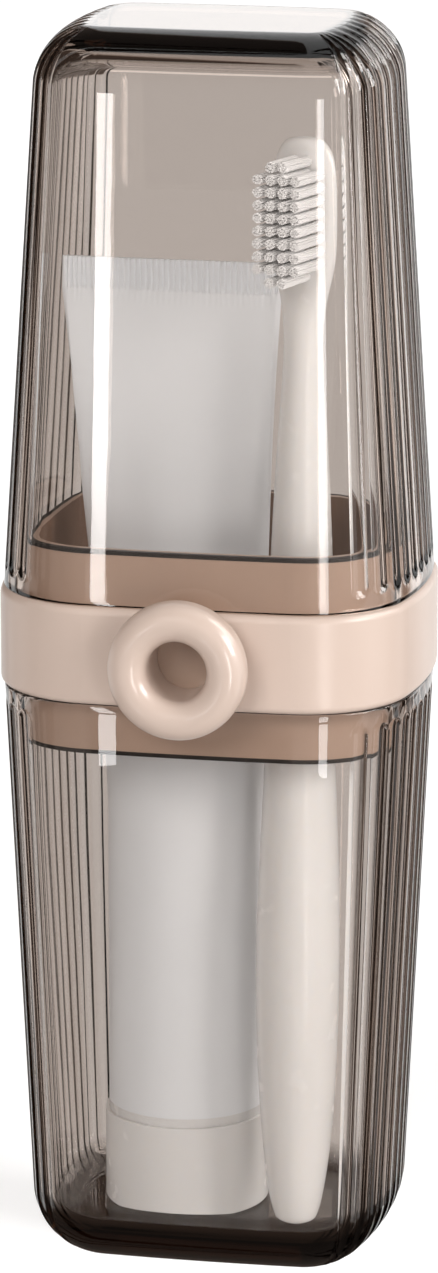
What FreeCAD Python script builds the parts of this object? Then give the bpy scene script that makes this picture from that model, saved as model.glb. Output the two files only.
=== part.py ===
import FreeCAD, Part
import math
import os
from FreeCAD import Vector

# Toothbrush travel case: a cup and a lid of thick clear plastic, pushed onto a collar that carries
# a ring-shaped push button. A toothbrush and a tube of toothpaste stand inside.
# Millimetres, +Z up, the front faces -Y, and the origin is the middle of the base.

# Case: its plan at the collar, and the heights of its three parts
case_width = 70.2
case_depth = 57.8
corner_radius = 17.5
front_crown = 0.4
side_crown = 1.0
cup_height = 100.2
band_height = 16.4
lid_height = 93.4
cup_draft = 0.0477
lid_draft = 0.0634
cup_edge_radius = 12.0
lid_edge_radius = 10.0

# Inside of the two shells
wall = 3.0
cup_end_wall = 6.5
lid_end_wall = 4.6
inner_corner_radius = 14.5
cup_cavity_edge_radius = 5.5
lid_cavity_edge_radius = 5.5

# Reeds on the two narrow sides
reed_count = 13
reed_pitch = 4.3
reed_radius = 3.1
reed_depth = 0.5
reed_rim_margin = 4.2
reed_run_out_angle = 65.0
reed_run_out_length = 8.0

# Collar
fit_gap = 0.3
sleeve_reach = 9.0
sleeve_wall = 2.0
band_proud = 0.6
band_wall = 1.4
band_flange = 1.4
band_edge_radius = 1.2
bond_gap = 0.03
seal_width = 0.9
seal_height = 0.7
seal_gap = 0.02

# Ring button and the clamp behind it
ring_diameter = 23.0
ring_hole = 10.0
ring_thickness = 7.4
ring_edge_radius = 3.1
fillet_limit = 0.48
ring_standoff = 0.7
stem_diameter = 11.6
stem_gap = 0.1
boss_wall = 0.8
button_travel = 1.0
plate_width = 25.0
plate_thickness = 0.8
plate_corner_radius = 2.0
plate_flange_gap = 0.6
spigot_length = 0.6
press_gap = 0.02
tongue_width = 4.4
tongue_thickness = 1.0
tongue_length = 9.0
tongue_gap = 0.4
grip_gap = 0.05
slot_gap = 0.3
spring_thickness = 0.2
spring_seat_gap = 0.02
spring_small_diameter = 7.0
spring_large_diameter = 12.0

# Toothbrush
brush_wall_gap = 5.9
brush_headroom = 12.9
brush_floor_gap = 0.2
brush_tip_diameter = 8.2
brush_tip_height = 3.6
brush_grip_diameter = 14.6
brush_grip_height = 47.0
brush_waist_diameter = 12.0
brush_waist_height = 78.0
brush_thumb_diameter = 10.8
brush_thumb_height = 113.0
neck_diameter = 6.5
neck_length = 10.0
neck_end_diameter = 4.0
neck_end_overlap = 2.4
head_width = 11.6
head_length = 27.0
head_thickness = 4.4
head_corner_radius = 5.4
head_edge_radius = 1.4
tuft_columns = 4
tuft_rows = 10
tuft_end_columns = 2
tuft_diameter = 1.9
tuft_pitch_across = 2.2
tuft_pitch_along = 2.1
tuft_length = 9.5
tuft_wall_gap = 2.0
brush_lean = 1.8
brush_turn = 13.0

# Tube of toothpaste, standing on its cap
tube_x = -6.0
tube_y = 2.0
tube_diameter = 26.6
tube_round_length = 50.0
tube_flat_sections = 3
tube_flare_power = 1.6
tube_headroom = 35.4
crimp_width = 38.0
crimp_wall_gap = 1.5
crimp_height = 5.5
crimp_thickness = 1.4
crimp_shift_y = -4.0
cap_diameter = 27.8
cap_height = 16.0
cap_wall = 1.2
cap_edge_radius = 0.7
cap_floor_gap = 0.1
shoulder_thickness = 1.6
nozzle_diameter = 9.0
nozzle_length = 9.0
nozzle_gap = 0.1
nozzle_socket_wall = 1.2

# Levels that the pieces share
band_bottom = cup_height
band_top = cup_height + band_height
band_middle = cup_height + band_height / 2
case_top = band_top + lid_height
floor_z = cup_end_wall
ceiling_z = case_top - lid_end_wall

# Distances out from the middle of the case to the front, through the collar and the clamp
band_face = case_depth / 2 + band_proud
band_inside = band_face - band_wall
tongue_front = band_inside - tongue_gap
tongue_back = tongue_front - tongue_thickness
plate_front = tongue_back - grip_gap
plate_back = plate_front - plate_thickness
pocket_floor = plate_back - button_travel - spring_thickness
ring_back = band_face + button_travel + ring_standoff
ring_front = ring_back + ring_thickness

UP = Vector(0, 0, 1)
BACKWARD = Vector(0, 1, 0)


# Plan of the case: eight arcs that run into one another, as (centre, radius, first and last angle)
def plan_arcs(width, depth, corner):
    corner_x = width / 2 - corner - side_crown
    corner_y = depth / 2 - corner - front_crown
    reach_x = width / 2 - corner_x
    reach_y = depth / 2 - corner_y
    side_radius = (corner_y**2 + reach_x**2 - corner**2) / (2 * side_crown)
    front_radius = (corner_x**2 + reach_y**2 - corner**2) / (2 * front_crown)
    side_turn = math.asin(corner_y / (side_radius - corner))
    front_turn = math.asin(corner_x / (front_radius - corner))
    arcs = []
    for quarter in range(4):
        middle = quarter * math.pi / 2
        if quarter % 2 == 0:
            centre_out, radius, turn, next_turn = width / 2 - side_radius, side_radius, side_turn, front_turn
        else:
            centre_out, radius, turn, next_turn = depth / 2 - front_radius, front_radius, front_turn, side_turn
        along = Vector(math.cos(middle), math.sin(middle), 0)
        arcs.append((along * centre_out, radius, middle - turn, middle + turn))
        corner_middle = middle + math.pi / 4
        corner_centre = Vector(
            math.copysign(corner_x, math.cos(corner_middle)),
            math.copysign(corner_y, math.sin(corner_middle)),
            0,
        )
        arcs.append((corner_centre, corner, middle + turn, middle + math.pi / 2 - next_turn))
    return arcs


outer_plan = plan_arcs(case_width, case_depth, corner_radius)
inner_plan = plan_arcs(case_width - 2 * wall, case_depth - 2 * wall, inner_corner_radius)


def on_circle(centre, radius, angle):
    return centre + Vector(math.cos(angle), math.sin(angle), 0) * radius


# The plan drawn in by an inset, as a closed wire at a height
def plan_wire(plan, inset, z):
    edges = []
    for centre, radius, first, last in plan:
        lifted = centre + UP * z
        points = [on_circle(lifted, radius - inset, a) for a in (first, (first + last) / 2, last)]
        edges.append(Part.Arc(*points).toShape())
    return Part.Wire(edges)


# A solid through the plan at several (inset, height) levels
def plan_solid(plan, levels):
    return Part.makeLoft([plan_wire(plan, inset, z) for inset, z in levels], True, True)


def edges_at(solid, z):
    def lies_there(edge):
        box = edge.BoundBox
        return abs(box.ZMin - z) < 0.001 and abs(box.ZMax - z) < 0.001

    return [edge for edge in solid.Edges if lies_there(edge)]


def box_between(x0, x1, y0, y1, z0, z1):
    return Part.makeBox(x1 - x0, y1 - y0, z1 - z0, Vector(x0, y0, z0))


# A cylinder on the button's axis, between two distances out to the front
def button_cylinder(diameter, out_from, out_to):
    start = Vector(0, -out_to, band_middle)
    return Part.makeCylinder(diameter / 2, out_to - out_from, start, BACKWARD)


# The station on a narrow side at a length along the plan from that side's middle
def side_station(along, side):
    centre, radius, first, last = outer_plan[0]
    half_side = radius * last
    if abs(along) <= half_side:
        angle = along / radius
    else:
        centre, radius, first, last = outer_plan[1]
        angle = first + (abs(along) - half_side) / radius
        if along < 0:
            angle = -angle
            centre = Vector(centre.x, -centre.y, 0)
    mirrored = Vector(side * centre.x, centre.y, 0)
    normal = Vector(side * math.cos(angle), math.sin(angle), 0)
    return mirrored, radius, normal


# Round cutters for the reeds of one shell, up its side and over its end edge
def reed_cutters(rim_z, direction, height, draft, edge_radius):
    lean = math.atan(draft)
    offset = reed_radius - reed_depth
    last_angle = math.radians(reed_run_out_angle)
    cutters = []
    for side in (1, -1):
        for index in range(reed_count):
            along = (index - (reed_count - 1) / 2) * reed_pitch
            centre, radius, normal = side_station(along, side)

            def place(out, rise):
                return centre + normal * out + UP * (rim_z + direction * rise)

            def around(angle):
                turn = edge_radius + offset
                return place(edge_out + turn * math.cos(angle), edge_rise + turn * math.sin(angle))

            edge_rise = height - edge_radius
            edge_out = radius - (edge_rise * math.sin(lean) + edge_radius) / math.cos(lean)
            start = place(
                radius - draft * reed_rim_margin + offset * math.cos(lean),
                reed_rim_margin + offset * math.sin(lean),
            )
            bend = around(lean)
            leave = around(last_angle)
            run_out = normal * -math.sin(last_angle) + UP * (direction * math.cos(last_angle))
            path = Part.Wire(
                [
                    Part.LineSegment(start, bend).toShape(),
                    Part.Arc(bend, around((lean + last_angle) / 2), leave).toShape(),
                    Part.LineSegment(leave, leave + run_out * reed_run_out_length).toShape(),
                ]
            )
            section = Part.Wire(Part.Circle(start, bend - start, reed_radius).toShape())
            round_end = Part.makeSphere(reed_radius, start)
            cutters.append(path.makePipeShell([section], True, False).fuse(round_end).removeSplitter())
    return cutters


# One thick-walled half of the case, open at its rim
def shell(rim_z, direction, height, draft, end_wall, edge_radius, cavity_edge_radius):
    end_z = rim_z + direction * height
    inner_depth = height - end_wall
    inner_z = rim_z + direction * inner_depth
    outside = plan_solid(outer_plan, [(0, rim_z), (draft * height, end_z)])
    outside = outside.makeFillet(edge_radius, edges_at(outside, end_z))
    cavity = plan_solid(inner_plan, [(0, rim_z), (draft * inner_depth, inner_z)])
    cavity = cavity.makeFillet(cavity_edge_radius, edges_at(cavity, inner_z))
    cutters = reed_cutters(rim_z, direction, height, draft, edge_radius)
    return outside.cut(cutters).cut(cavity)


# The lid's two tongues stand either side of the button's stem
def tongue_centres():
    inner_edge = stem_diameter / 2 + stem_gap + boss_wall + slot_gap
    middle = inner_edge + tongue_width / 2 + slot_gap
    return (-middle, middle)


def make_cup_shell():
    end_radii = (cup_edge_radius, cup_cavity_edge_radius)
    return shell(band_bottom, -1, cup_height, cup_draft, cup_end_wall, *end_radii)


def make_lid_shell():
    end_radii = (lid_edge_radius, lid_cavity_edge_radius)
    solid = shell(band_top, 1, lid_height, lid_draft, lid_end_wall, *end_radii)
    for x in tongue_centres():
        tongue = box_between(
            x - tongue_width / 2,
            x + tongue_width / 2,
            -tongue_front,
            -tongue_back,
            band_top - tongue_length,
            band_top + wall / 2,
        )
        solid = solid.fuse(tongue)
    return solid.removeSplitter()


# Levels of the sleeve's faces, a distance in from the shells' inner plan
def sleeve_levels(inset):
    return [
        (inset + cup_draft * sleeve_reach, band_bottom - sleeve_reach),
        (inset, band_bottom),
        (inset, band_top),
        (inset + lid_draft * sleeve_reach, band_top + sleeve_reach),
    ]


# A ring at the outer corner of one of the sleeve's rims, as wide as the seal plus a gap
def rim_ring(rim_z, direction, draft, gap):
    rim_inset = fit_gap + draft * sleeve_reach
    low_z = rim_z - direction * (seal_height + gap)
    low_inset = rim_inset - draft * (seal_height + gap)
    outside = plan_solid(inner_plan, [(low_inset, low_z), (rim_inset, rim_z)])
    inside = plan_solid(
        inner_plan,
        [(rim_inset + seal_width + gap, low_z), (rim_inset + seal_width + gap, rim_z)],
    )
    return outside.cut(inside)


lid_rim = (band_top + sleeve_reach, 1, lid_draft)
cup_rim = (band_bottom - sleeve_reach, -1, cup_draft)


def make_collar_sleeve():
    sleeve = plan_solid(inner_plan, sleeve_levels(fit_gap))
    sleeve = sleeve.cut(plan_solid(inner_plan, sleeve_levels(fit_gap + sleeve_wall)))
    for rim in (lid_rim, cup_rim):
        sleeve = sleeve.cut(rim_ring(*rim, seal_gap))
    half_width = plate_width / 2 + slot_gap
    pocket = box_between(
        -half_width,
        half_width,
        -band_face,
        -pocket_floor,
        band_bottom + band_flange,
        band_top - band_flange,
    )
    return sleeve.cut(pocket)


def make_collar_band():
    outside = plan_solid(outer_plan, [(-band_proud, band_bottom), (-band_proud, band_top)])
    edges = edges_at(outside, band_bottom) + edges_at(outside, band_top)
    band = outside.makeFillet(band_edge_radius, edges)
    channel_inset = band_wall - band_proud
    channel = plan_solid(
        outer_plan,
        [(channel_inset, band_bottom + band_flange), (channel_inset, band_top - band_flange)],
    )
    bore_inset = fit_gap - bond_gap
    bore = plan_solid(inner_plan, [(bore_inset, band_bottom), (bore_inset, band_top)])
    band = band.cut(channel).cut(bore)
    boss_diameter = stem_diameter + 2 * (stem_gap + boss_wall)
    band = band.fuse(button_cylinder(boss_diameter, plate_front, band_face - band_wall / 2))
    band = band.cut(button_cylinder(stem_diameter + 2 * stem_gap, plate_front, ring_front))
    for x in tongue_centres():
        slot = box_between(
            x - tongue_width / 2 - slot_gap,
            x + tongue_width / 2 + slot_gap,
            -band_inside,
            -tongue_back + slot_gap,
            band_middle,
            band_top,
        )
        band = band.cut(slot)
    return band.removeSplitter()


def make_lid_seal():
    return rim_ring(*lid_rim, 0)


def make_cup_seal():
    return rim_ring(*cup_rim, 0)


def make_ring_button():
    ring = button_cylinder(ring_diameter, ring_back, ring_front)
    ring = ring.cut(button_cylinder(ring_hole, ring_back, ring_front))
    ring_wall = (ring_diameter - ring_hole) / 2
    rounding = min(ring_edge_radius, fillet_limit * ring_thickness, fillet_limit * ring_wall)
    inner_back = ring_hole / 2 + rounding
    rounded = []
    for edge in ring.Edges:
        box = edge.BoundBox
        is_circle = box.YMax - box.YMin < 0.001
        is_bore_back = box.XMax < inner_back and box.YMax > -ring_back - 0.001
        if is_circle and not is_bore_back:
            rounded.append(edge)
    ring = ring.makeFillet(rounding, rounded)
    stem = button_cylinder(stem_diameter, plate_front, ring_back + ring_thickness / 2)
    stem = stem.cut(button_cylinder(ring_hole, plate_front, ring_front))
    return ring.fuse(stem).removeSplitter()


def make_clamp_plate():
    half_height = band_height / 2 - band_flange - plate_flange_gap
    plate = box_between(
        -plate_width / 2,
        plate_width / 2,
        -plate_front,
        -plate_back,
        band_middle - half_height,
        band_middle + half_height,
    )
    corners = [edge for edge in plate.Edges if edge.BoundBox.YLength > plate_thickness / 2]
    plate = plate.makeFillet(plate_corner_radius, corners)
    spigot = button_cylinder(ring_hole - 2 * press_gap, plate_back, plate_front + spigot_length)
    return plate.fuse(spigot).removeSplitter()


# A coned ring of sheet steel, its small edge on the plate and its large edge on the sleeve
def make_button_spring():
    near = -(plate_back - spring_seat_gap)
    far = -(pocket_floor + spring_seat_gap)
    small = spring_small_diameter / 2
    large = spring_large_diameter / 2
    corners = [
        Vector(small, near, band_middle),
        Vector(small + spring_thickness, near, band_middle),
        Vector(large, far, band_middle),
        Vector(large - spring_thickness, far, band_middle),
    ]
    profile = Part.Face(Part.makePolygon(corners + corners[:1]))
    return profile.revolve(Vector(0, 0, band_middle), BACKWARD, 360)


# How far a shell's inside is drawn in at a height, and half its width and depth there
def inside_inset(z):
    return wall + max(lid_draft * (z - band_top), cup_draft * (band_bottom - z), 0)


def inside_half_width(z):
    return case_width / 2 - inside_inset(z)


def inside_half_depth(z):
    return case_depth / 2 - inside_inset(z)


brush_bottom = floor_z + brush_floor_gap
brush_top = ceiling_z - brush_headroom
brush_length = brush_top - brush_bottom
head_bottom = brush_length - head_length
brush_x = inside_half_width(brush_top) - brush_wall_gap - head_width / 2
tuft_half_width = ((tuft_columns - 1) * tuft_pitch_across + tuft_diameter) / 2
tuft_out = (head_thickness / 2 + tuft_length) * math.cos(math.radians(brush_turn))
tuft_reach = tuft_out + tuft_half_width * math.sin(math.radians(brush_turn))
brush_top_y = tuft_reach + tuft_wall_gap - inside_half_depth(brush_top)
brush_y = brush_top_y - brush_length * math.sin(math.radians(brush_lean))


# The brush is drawn upright on the origin, turned a little, leaned back and stood in the cup
def stand_brush(shape):
    shape.rotate(Vector(0, 0, 0), UP, -brush_turn)
    shape.rotate(Vector(0, 0, 0), Vector(1, 0, 0), -brush_lean)
    shape.translate(Vector(brush_x, brush_y, brush_bottom))
    return shape


def make_toothbrush_handle():
    stations = [
        (brush_tip_diameter, brush_tip_height),
        (brush_grip_diameter, brush_grip_height),
        (brush_waist_diameter, brush_waist_height),
        (brush_thumb_diameter, brush_thumb_height),
        (neck_diameter, head_bottom - neck_length),
        (neck_end_diameter, head_bottom + neck_end_overlap),
    ]
    tip = Vector(0, 0, 0)
    points = [tip] + [Vector(diameter / 2, 0, z) for diameter, z in stations]
    outline = Part.BSplineCurve()
    outline.interpolate(points, InitialTangent=Vector(1, 0, 0), FinalTangent=UP)
    top = Vector(0, 0, points[-1].z)
    edges = [
        outline.toShape(),
        Part.LineSegment(points[-1], top).toShape(),
        Part.LineSegment(top, tip).toShape(),
    ]
    handle = Part.Face(Part.Wire(edges)).revolve(tip, UP, 360)
    half_width = head_width / 2
    half_thick = head_thickness / 2
    head = box_between(-half_width, half_width, -half_thick, half_thick, head_bottom, brush_length)
    corners = [edge for edge in head.Edges if edge.BoundBox.YLength > half_thick]
    head = head.makeFillet(head_corner_radius, corners)
    rims = [edge for edge in head.Edges if edge.BoundBox.YLength < 0.001]
    head = head.makeFillet(head_edge_radius, rims)
    return stand_brush(handle.fuse(head).removeSplitter())


# The first and last rows have only their middle tufts, because the head is rounded
def has_tuft(column, row):
    in_end_row = row in (0, tuft_rows - 1)
    off_middle = abs(column - (tuft_columns - 1) / 2)
    return not in_end_row or off_middle < tuft_end_columns / 2


def make_toothbrush_tufts():
    middle_z = head_bottom + head_length / 2
    tufts = []
    for column in range(tuft_columns):
        for row in range(tuft_rows):
            if not has_tuft(column, row):
                continue
            x = (column - (tuft_columns - 1) / 2) * tuft_pitch_across
            z = middle_z + (row - (tuft_rows - 1) / 2) * tuft_pitch_along
            tip = Vector(x, -head_thickness / 2 - tuft_length, z)
            tufts.append(Part.makeCylinder(tuft_diameter / 2, tuft_length, tip, BACKWARD))
    return stand_brush(Part.Compound(tufts))


tube_axis = Vector(tube_x, tube_y, 0)
cap_bottom = floor_z + cap_floor_gap
cap_top = cap_bottom + cap_height
tube_bottom = cap_top + shoulder_thickness
crimp_top = ceiling_z - tube_headroom
crimp_bottom = crimp_top - crimp_height
crimp_x = crimp_width / 2 + crimp_wall_gap - inside_half_width(crimp_top)
crimp_centre = Vector(crimp_x, tube_y + crimp_shift_y, 0)


# An oval of a width and a thickness round a point, as a closed wire
def oval(centre, width, thickness):
    ellipse = Part.Ellipse(
        centre + Vector(width / 2, 0, 0),
        centre + Vector(0, thickness / 2, 0),
        centre,
    )
    return Part.Wire(ellipse.toShape())


# Round at the shoulder, then flattening and widening up to the crimp
def make_tube_body():
    round_top = tube_bottom + tube_round_length
    flat_rise = crimp_bottom - round_top
    sections = [Part.Wire(Part.Circle(tube_axis + UP * z, UP, tube_diameter / 2).toShape())
                for z in (tube_bottom, round_top)]
    for index in range(tube_flat_sections):
        share = (index + 1) / tube_flat_sections
        centre = tube_axis + (crimp_centre - tube_axis) * share + UP * (round_top + flat_rise * share)
        width = tube_diameter + (crimp_width - tube_diameter) * share**tube_flare_power
        thickness = tube_diameter + (crimp_thickness - tube_diameter) * share
        sections.append(oval(centre, width, thickness))
    body = Part.makeLoft(sections, True, False)
    crimp = box_between(
        crimp_centre.x - crimp_width / 2,
        crimp_centre.x + crimp_width / 2,
        crimp_centre.y - crimp_thickness / 2,
        crimp_centre.y + crimp_thickness / 2,
        crimp_bottom - crimp_thickness,
        crimp_top,
    )
    return body.fuse(crimp).removeSplitter()


def make_tube_shoulder():
    shoulder = Part.makeCylinder(tube_diameter / 2, shoulder_thickness, tube_axis + UP * cap_top)
    nozzle_low = tube_axis + UP * (cap_top - nozzle_length)
    nozzle = Part.makeCylinder(nozzle_diameter / 2, nozzle_length, nozzle_low)
    return shoulder.fuse(nozzle).removeSplitter()


def make_tube_cap():
    cap = Part.makeCylinder(cap_diameter / 2, cap_height, tube_axis + UP * cap_bottom)
    cap = cap.makeFillet(cap_edge_radius, edges_at(cap, cap_bottom))
    hollow_low = tube_axis + UP * (cap_bottom + cap_wall)
    hollow_height = cap_height - cap_wall
    cap = cap.cut(Part.makeCylinder(cap_diameter / 2 - cap_wall, hollow_height, hollow_low))
    socket_bore = nozzle_diameter / 2 + nozzle_gap
    socket = Part.makeCylinder(socket_bore + nozzle_socket_wall, hollow_height, hollow_low)
    socket = socket.cut(Part.makeCylinder(socket_bore, hollow_height, hollow_low))
    return cap.fuse(socket).removeSplitter()


nodes = {
    "cup_shell": make_cup_shell,
    "lid_shell": make_lid_shell,
    "collar_sleeve": make_collar_sleeve,
    "collar_band": make_collar_band,
    "lid_seal": make_lid_seal,
    "cup_seal": make_cup_seal,
    "ring_button": make_ring_button,
    "clamp_plate": make_clamp_plate,
    "button_spring": make_button_spring,
    "toothbrush_handle": make_toothbrush_handle,
    "toothbrush_tufts": make_toothbrush_tufts,
    "tube_body": make_tube_body,
    "tube_shoulder": make_tube_shoulder,
    "tube_cap": make_tube_cap,
}

os.makedirs("parts", exist_ok=True)
for name, make in nodes.items():
    shape = make()
    shape.exportStep(f"parts/{name}.step")
    print(name, "solids", len(shape.Solids), "valid", shape.isValid(), "volume", round(shape.Volume, 1))
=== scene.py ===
# %% [markdown]
# # A travel case for a toothbrush, in smoky clear plastic
# The case is a cup and a lid of thick clear plastic, pushed onto a cream collar with a ring button in
# front. A toothbrush and a tube of toothpaste stand inside. The imported solids are the fixed frame.
# The hard pieces of the collar stay and get a finish. The clear shells, the brush and the tube are
# modelled here, because clear walls, fibres and soft skins need finer meshes than the solids bring. So
# is the spring behind the button. The real spring flattens when the button is pressed.

# %% Load the imported case
import math

import bpy
import numpy as np
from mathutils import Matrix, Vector


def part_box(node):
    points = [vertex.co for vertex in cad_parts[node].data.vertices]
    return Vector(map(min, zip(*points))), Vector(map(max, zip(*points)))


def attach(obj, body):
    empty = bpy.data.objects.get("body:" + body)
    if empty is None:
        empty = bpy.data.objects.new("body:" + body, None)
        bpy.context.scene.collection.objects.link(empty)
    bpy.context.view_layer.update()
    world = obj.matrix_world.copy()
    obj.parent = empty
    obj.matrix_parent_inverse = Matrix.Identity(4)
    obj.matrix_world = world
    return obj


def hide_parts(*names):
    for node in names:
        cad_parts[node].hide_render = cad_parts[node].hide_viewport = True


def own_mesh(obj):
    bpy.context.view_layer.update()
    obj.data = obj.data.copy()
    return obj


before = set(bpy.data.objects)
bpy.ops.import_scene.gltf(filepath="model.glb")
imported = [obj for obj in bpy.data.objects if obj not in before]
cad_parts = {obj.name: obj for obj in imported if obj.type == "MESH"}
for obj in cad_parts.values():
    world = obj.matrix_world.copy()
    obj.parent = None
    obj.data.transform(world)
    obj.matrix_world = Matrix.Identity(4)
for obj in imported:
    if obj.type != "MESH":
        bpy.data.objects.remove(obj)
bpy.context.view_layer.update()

MM = 0.001
print("pieces in the frame:", ", ".join(sorted(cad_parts)))

# %% [markdown]
# ## Camera
# A long lens from a little above, standing slightly to the right of the front. It comes first, because
# everything after it is judged through it. Its place is set out from the middle of the case, and it is
# turned with a tracking rotation instead of angles worked out by hand.

# %% Set up the camera
camera_turn = math.radians(11.612)
camera_distance = 1051.5 * MM
camera_height = 368.2 * MM
aim_height = 105.55 * MM
aim_left = 0.28 * MM
lens_length = 182.8
sensor_height = 36.0

towards_right = Vector((math.cos(camera_turn), math.sin(camera_turn), 0))
aim = Vector((0, 0, aim_height)) - towards_right * aim_left
camera_place = Vector(
    (math.sin(camera_turn) * camera_distance, -math.cos(camera_turn) * camera_distance, camera_height)
)
bpy.ops.object.select_all(action="DESELECT")
bpy.ops.object.camera_add(location=camera_place)
camera = bpy.context.object
camera.rotation_euler = (aim - camera_place).to_track_quat("-Z", "Y").to_euler()
camera.data.sensor_fit = "VERTICAL"
camera.data.sensor_height = sensor_height
camera.data.lens = lens_length
bpy.context.scene.camera = camera
print("camera", tuple(round(c, 3) for c in camera_place), "lens", lens_length)

# %% [markdown]
# ## Surround
# Clear plastic has hardly any look of its own: it shows what stands around it. A photographer sets such
# a thing before a white backdrop in a dark room, and puts dark and bright cards beside it, so that its
# edges and reeds get dark and bright lines. The same is done here in the world's shader. It is plain
# white for the camera, an even soft light for matt surfaces, and a backdrop with cards for what a gloss
# or a clear wall sends on. What a gloss mirrors is also dark in front and below, like the room. Cards
# that are placed by their direction can't stand in the way when the view is turned, and they throw no
# shadow.


# %% Helpers for shader values
def feed(tree, value, socket):
    """Sets a socket to a number or a colour, or links it to another socket."""
    if isinstance(value, (int, float)):
        socket.default_value = value
    elif isinstance(value, tuple):
        socket.default_value = (*value, 1)
    else:
        tree.links.new(value, socket)


def math_node(tree, operation, *values):
    """One step of arithmetic on sockets or plain numbers."""
    step = tree.nodes.new("ShaderNodeMath")
    step.operation = operation
    for value, socket in zip(values, step.inputs):
        feed(tree, value, socket)
    return step.outputs[0]


def scaled(tree, socket, low, high):
    """A value that goes from low to high as the socket goes from nought to one."""
    span = tree.nodes.new("ShaderNodeMapRange")
    span.inputs["To Min"].default_value = low
    span.inputs["To Max"].default_value = high
    tree.links.new(socket, span.inputs["Value"])
    return span.outputs["Result"]


def soft_step(tree, socket, start, end):
    """A value that goes smoothly from nought to one while the socket goes from start to end."""
    span = tree.nodes.new("ShaderNodeMapRange")
    span.interpolation_type = "SMOOTHSTEP"
    span.inputs["From Min"].default_value = start
    span.inputs["From Max"].default_value = end
    tree.links.new(socket, span.inputs["Value"])
    return span.outputs["Result"]


def mixed(tree, kind, factor, first, second):
    """What lies between two values or colours, as the factor goes from nought to one."""
    mix = tree.nodes.new("ShaderNodeMix")
    mix.data_type = kind
    feed(tree, first, mix.inputs["A"])
    feed(tree, second, mix.inputs["B"])
    tree.links.new(factor, mix.inputs["Factor"])
    return mix.outputs["Result"]


def mixed_colour(tree, factor, first, second):
    """A colour between two, where each is a socket or a plain colour."""
    return mixed(tree, "RGBA", factor, first, second)


def mixed_value(tree, factor, first, second):
    """A value between two, where each is a socket or a plain number."""
    return mixed(tree, "FLOAT", factor, first, second)


# %% Helpers for rays and places
def seen_ray(tree):
    """One where a ray comes from the camera, a gloss or a clear wall, and nought elsewhere."""
    path = tree.nodes.new("ShaderNodeLightPath")
    camera_or_gloss = math_node(
        tree, "MAXIMUM", path.outputs["Is Camera Ray"], path.outputs["Is Glossy Ray"]
    )
    return math_node(tree, "MAXIMUM", camera_or_gloss, path.outputs["Is Transmission Ray"])


def mirrored_ray(tree):
    """One where a gloss mirrors a ray, and nought elsewhere."""
    path = tree.nodes.new("ShaderNodeLightPath")
    # Rays through a sharp clear wall count as glossy too, so they are taken off.
    return math_node(
        tree, "SUBTRACT", path.outputs["Is Glossy Ray"], path.outputs["Is Transmission Ray"]
    )


def off_axis(tree):
    """How far a point of a flat piece lies from the upright line through its middle."""
    place = tree.nodes.new("ShaderNodeTexCoord")
    length = tree.nodes.new("ShaderNodeVectorMath")
    length.operation = "LENGTH"
    tree.links.new(place.outputs["Object"], length.inputs[0])
    return length.outputs["Value"]


# %% Cards round the case
# A card is its middle and half width in degrees round from the back, positive to the right, then its
# lowest and highest rise, from -1 straight down to 1 straight up, and its shade, where 1 is white.
cards = {
    "left_slit": (-52, 1.6, -1.0, 1.0, 0.03),
    "left_sliver": (-71, 0.8, -1.0, 1.0, 0.10),
    "left_glow": (-61, 3.0, -0.6, 0.2, 1.5),
    "left_edge": (-104, 8.0, -1.0, 1.0, 0.04),
    "right_slit": (36, 5.0, -1.0, 1.0, 0.02),
    "right_sliver": (68, 3.0, -1.0, 1.0, 0.05),
    "right_glow": (23, 3.0, -0.6, 0.2, 2.2),
    "right_edge_glow": (55, 3.0, -0.6, 0.2, 2.0),
    "right_low_near": (30, 9.0, -0.9, -0.245, 0.26),
    "right_low_far": (63, 12.0, -0.9, -0.245, 0.14),
    "left_top": (-52, 34.0, 0.05, 1.0, 0.12),
    "shoulder_glow": (68, 18.0, 0.40, 0.85, 9.0),
    "front_low": (-168.4, 7.5, -0.5, -0.1, 0.12),
}
card_edge_turn = math.radians(2.5)
card_edge_rise = 0.04
# What a gloss mirrors is dark in every direction further to the front or further down than these two.
room_front = -0.25
room_low = -0.5
room_shade = 0.12


def card_shade(tree, azimuth, rise, card):
    """The card's shade inside its soft edges, and one outside them."""
    middle, half_width, lowest, highest, shade = card
    from_middle = math_node(tree, "SUBTRACT", azimuth, math.radians(middle))
    turn_edge = math.radians(half_width)
    beside = soft_step(
        tree, math_node(tree, "ABSOLUTE", from_middle), turn_edge, turn_edge + card_edge_turn
    )
    over = soft_step(tree, rise, highest, highest + card_edge_rise)
    under = soft_step(tree, rise, lowest, lowest - card_edge_rise)
    outside = math_node(tree, "MAXIMUM", beside, math_node(tree, "MAXIMUM", over, under))
    return scaled(tree, outside, shade, 1.0)


def all_cards(tree):
    """White, shaded where a card stands, and dark in front and below for what a gloss mirrors."""
    place = tree.nodes.new("ShaderNodeTexCoord")
    split = tree.nodes.new("ShaderNodeSeparateXYZ")
    tree.links.new(place.outputs["Generated"], split.inputs[0])
    right, back, rise = split.outputs
    azimuth = math_node(tree, "ARCTAN2", right, back)
    behind = soft_step(tree, back, room_front - card_edge_rise, room_front + card_edge_rise)
    above = soft_step(tree, rise, room_low - card_edge_rise, room_low + card_edge_rise)
    off_room = math_node(tree, "MINIMUM", behind, above)
    shade = mixed_value(tree, mirrored_ray(tree), 1.0, scaled(tree, off_room, room_shade, 1.0))
    for card in cards.values():
        shade = math_node(tree, "MULTIPLY", shade, card_shade(tree, azimuth, rise, card))
    return shade


print("cards:", ", ".join(cards))

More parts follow.
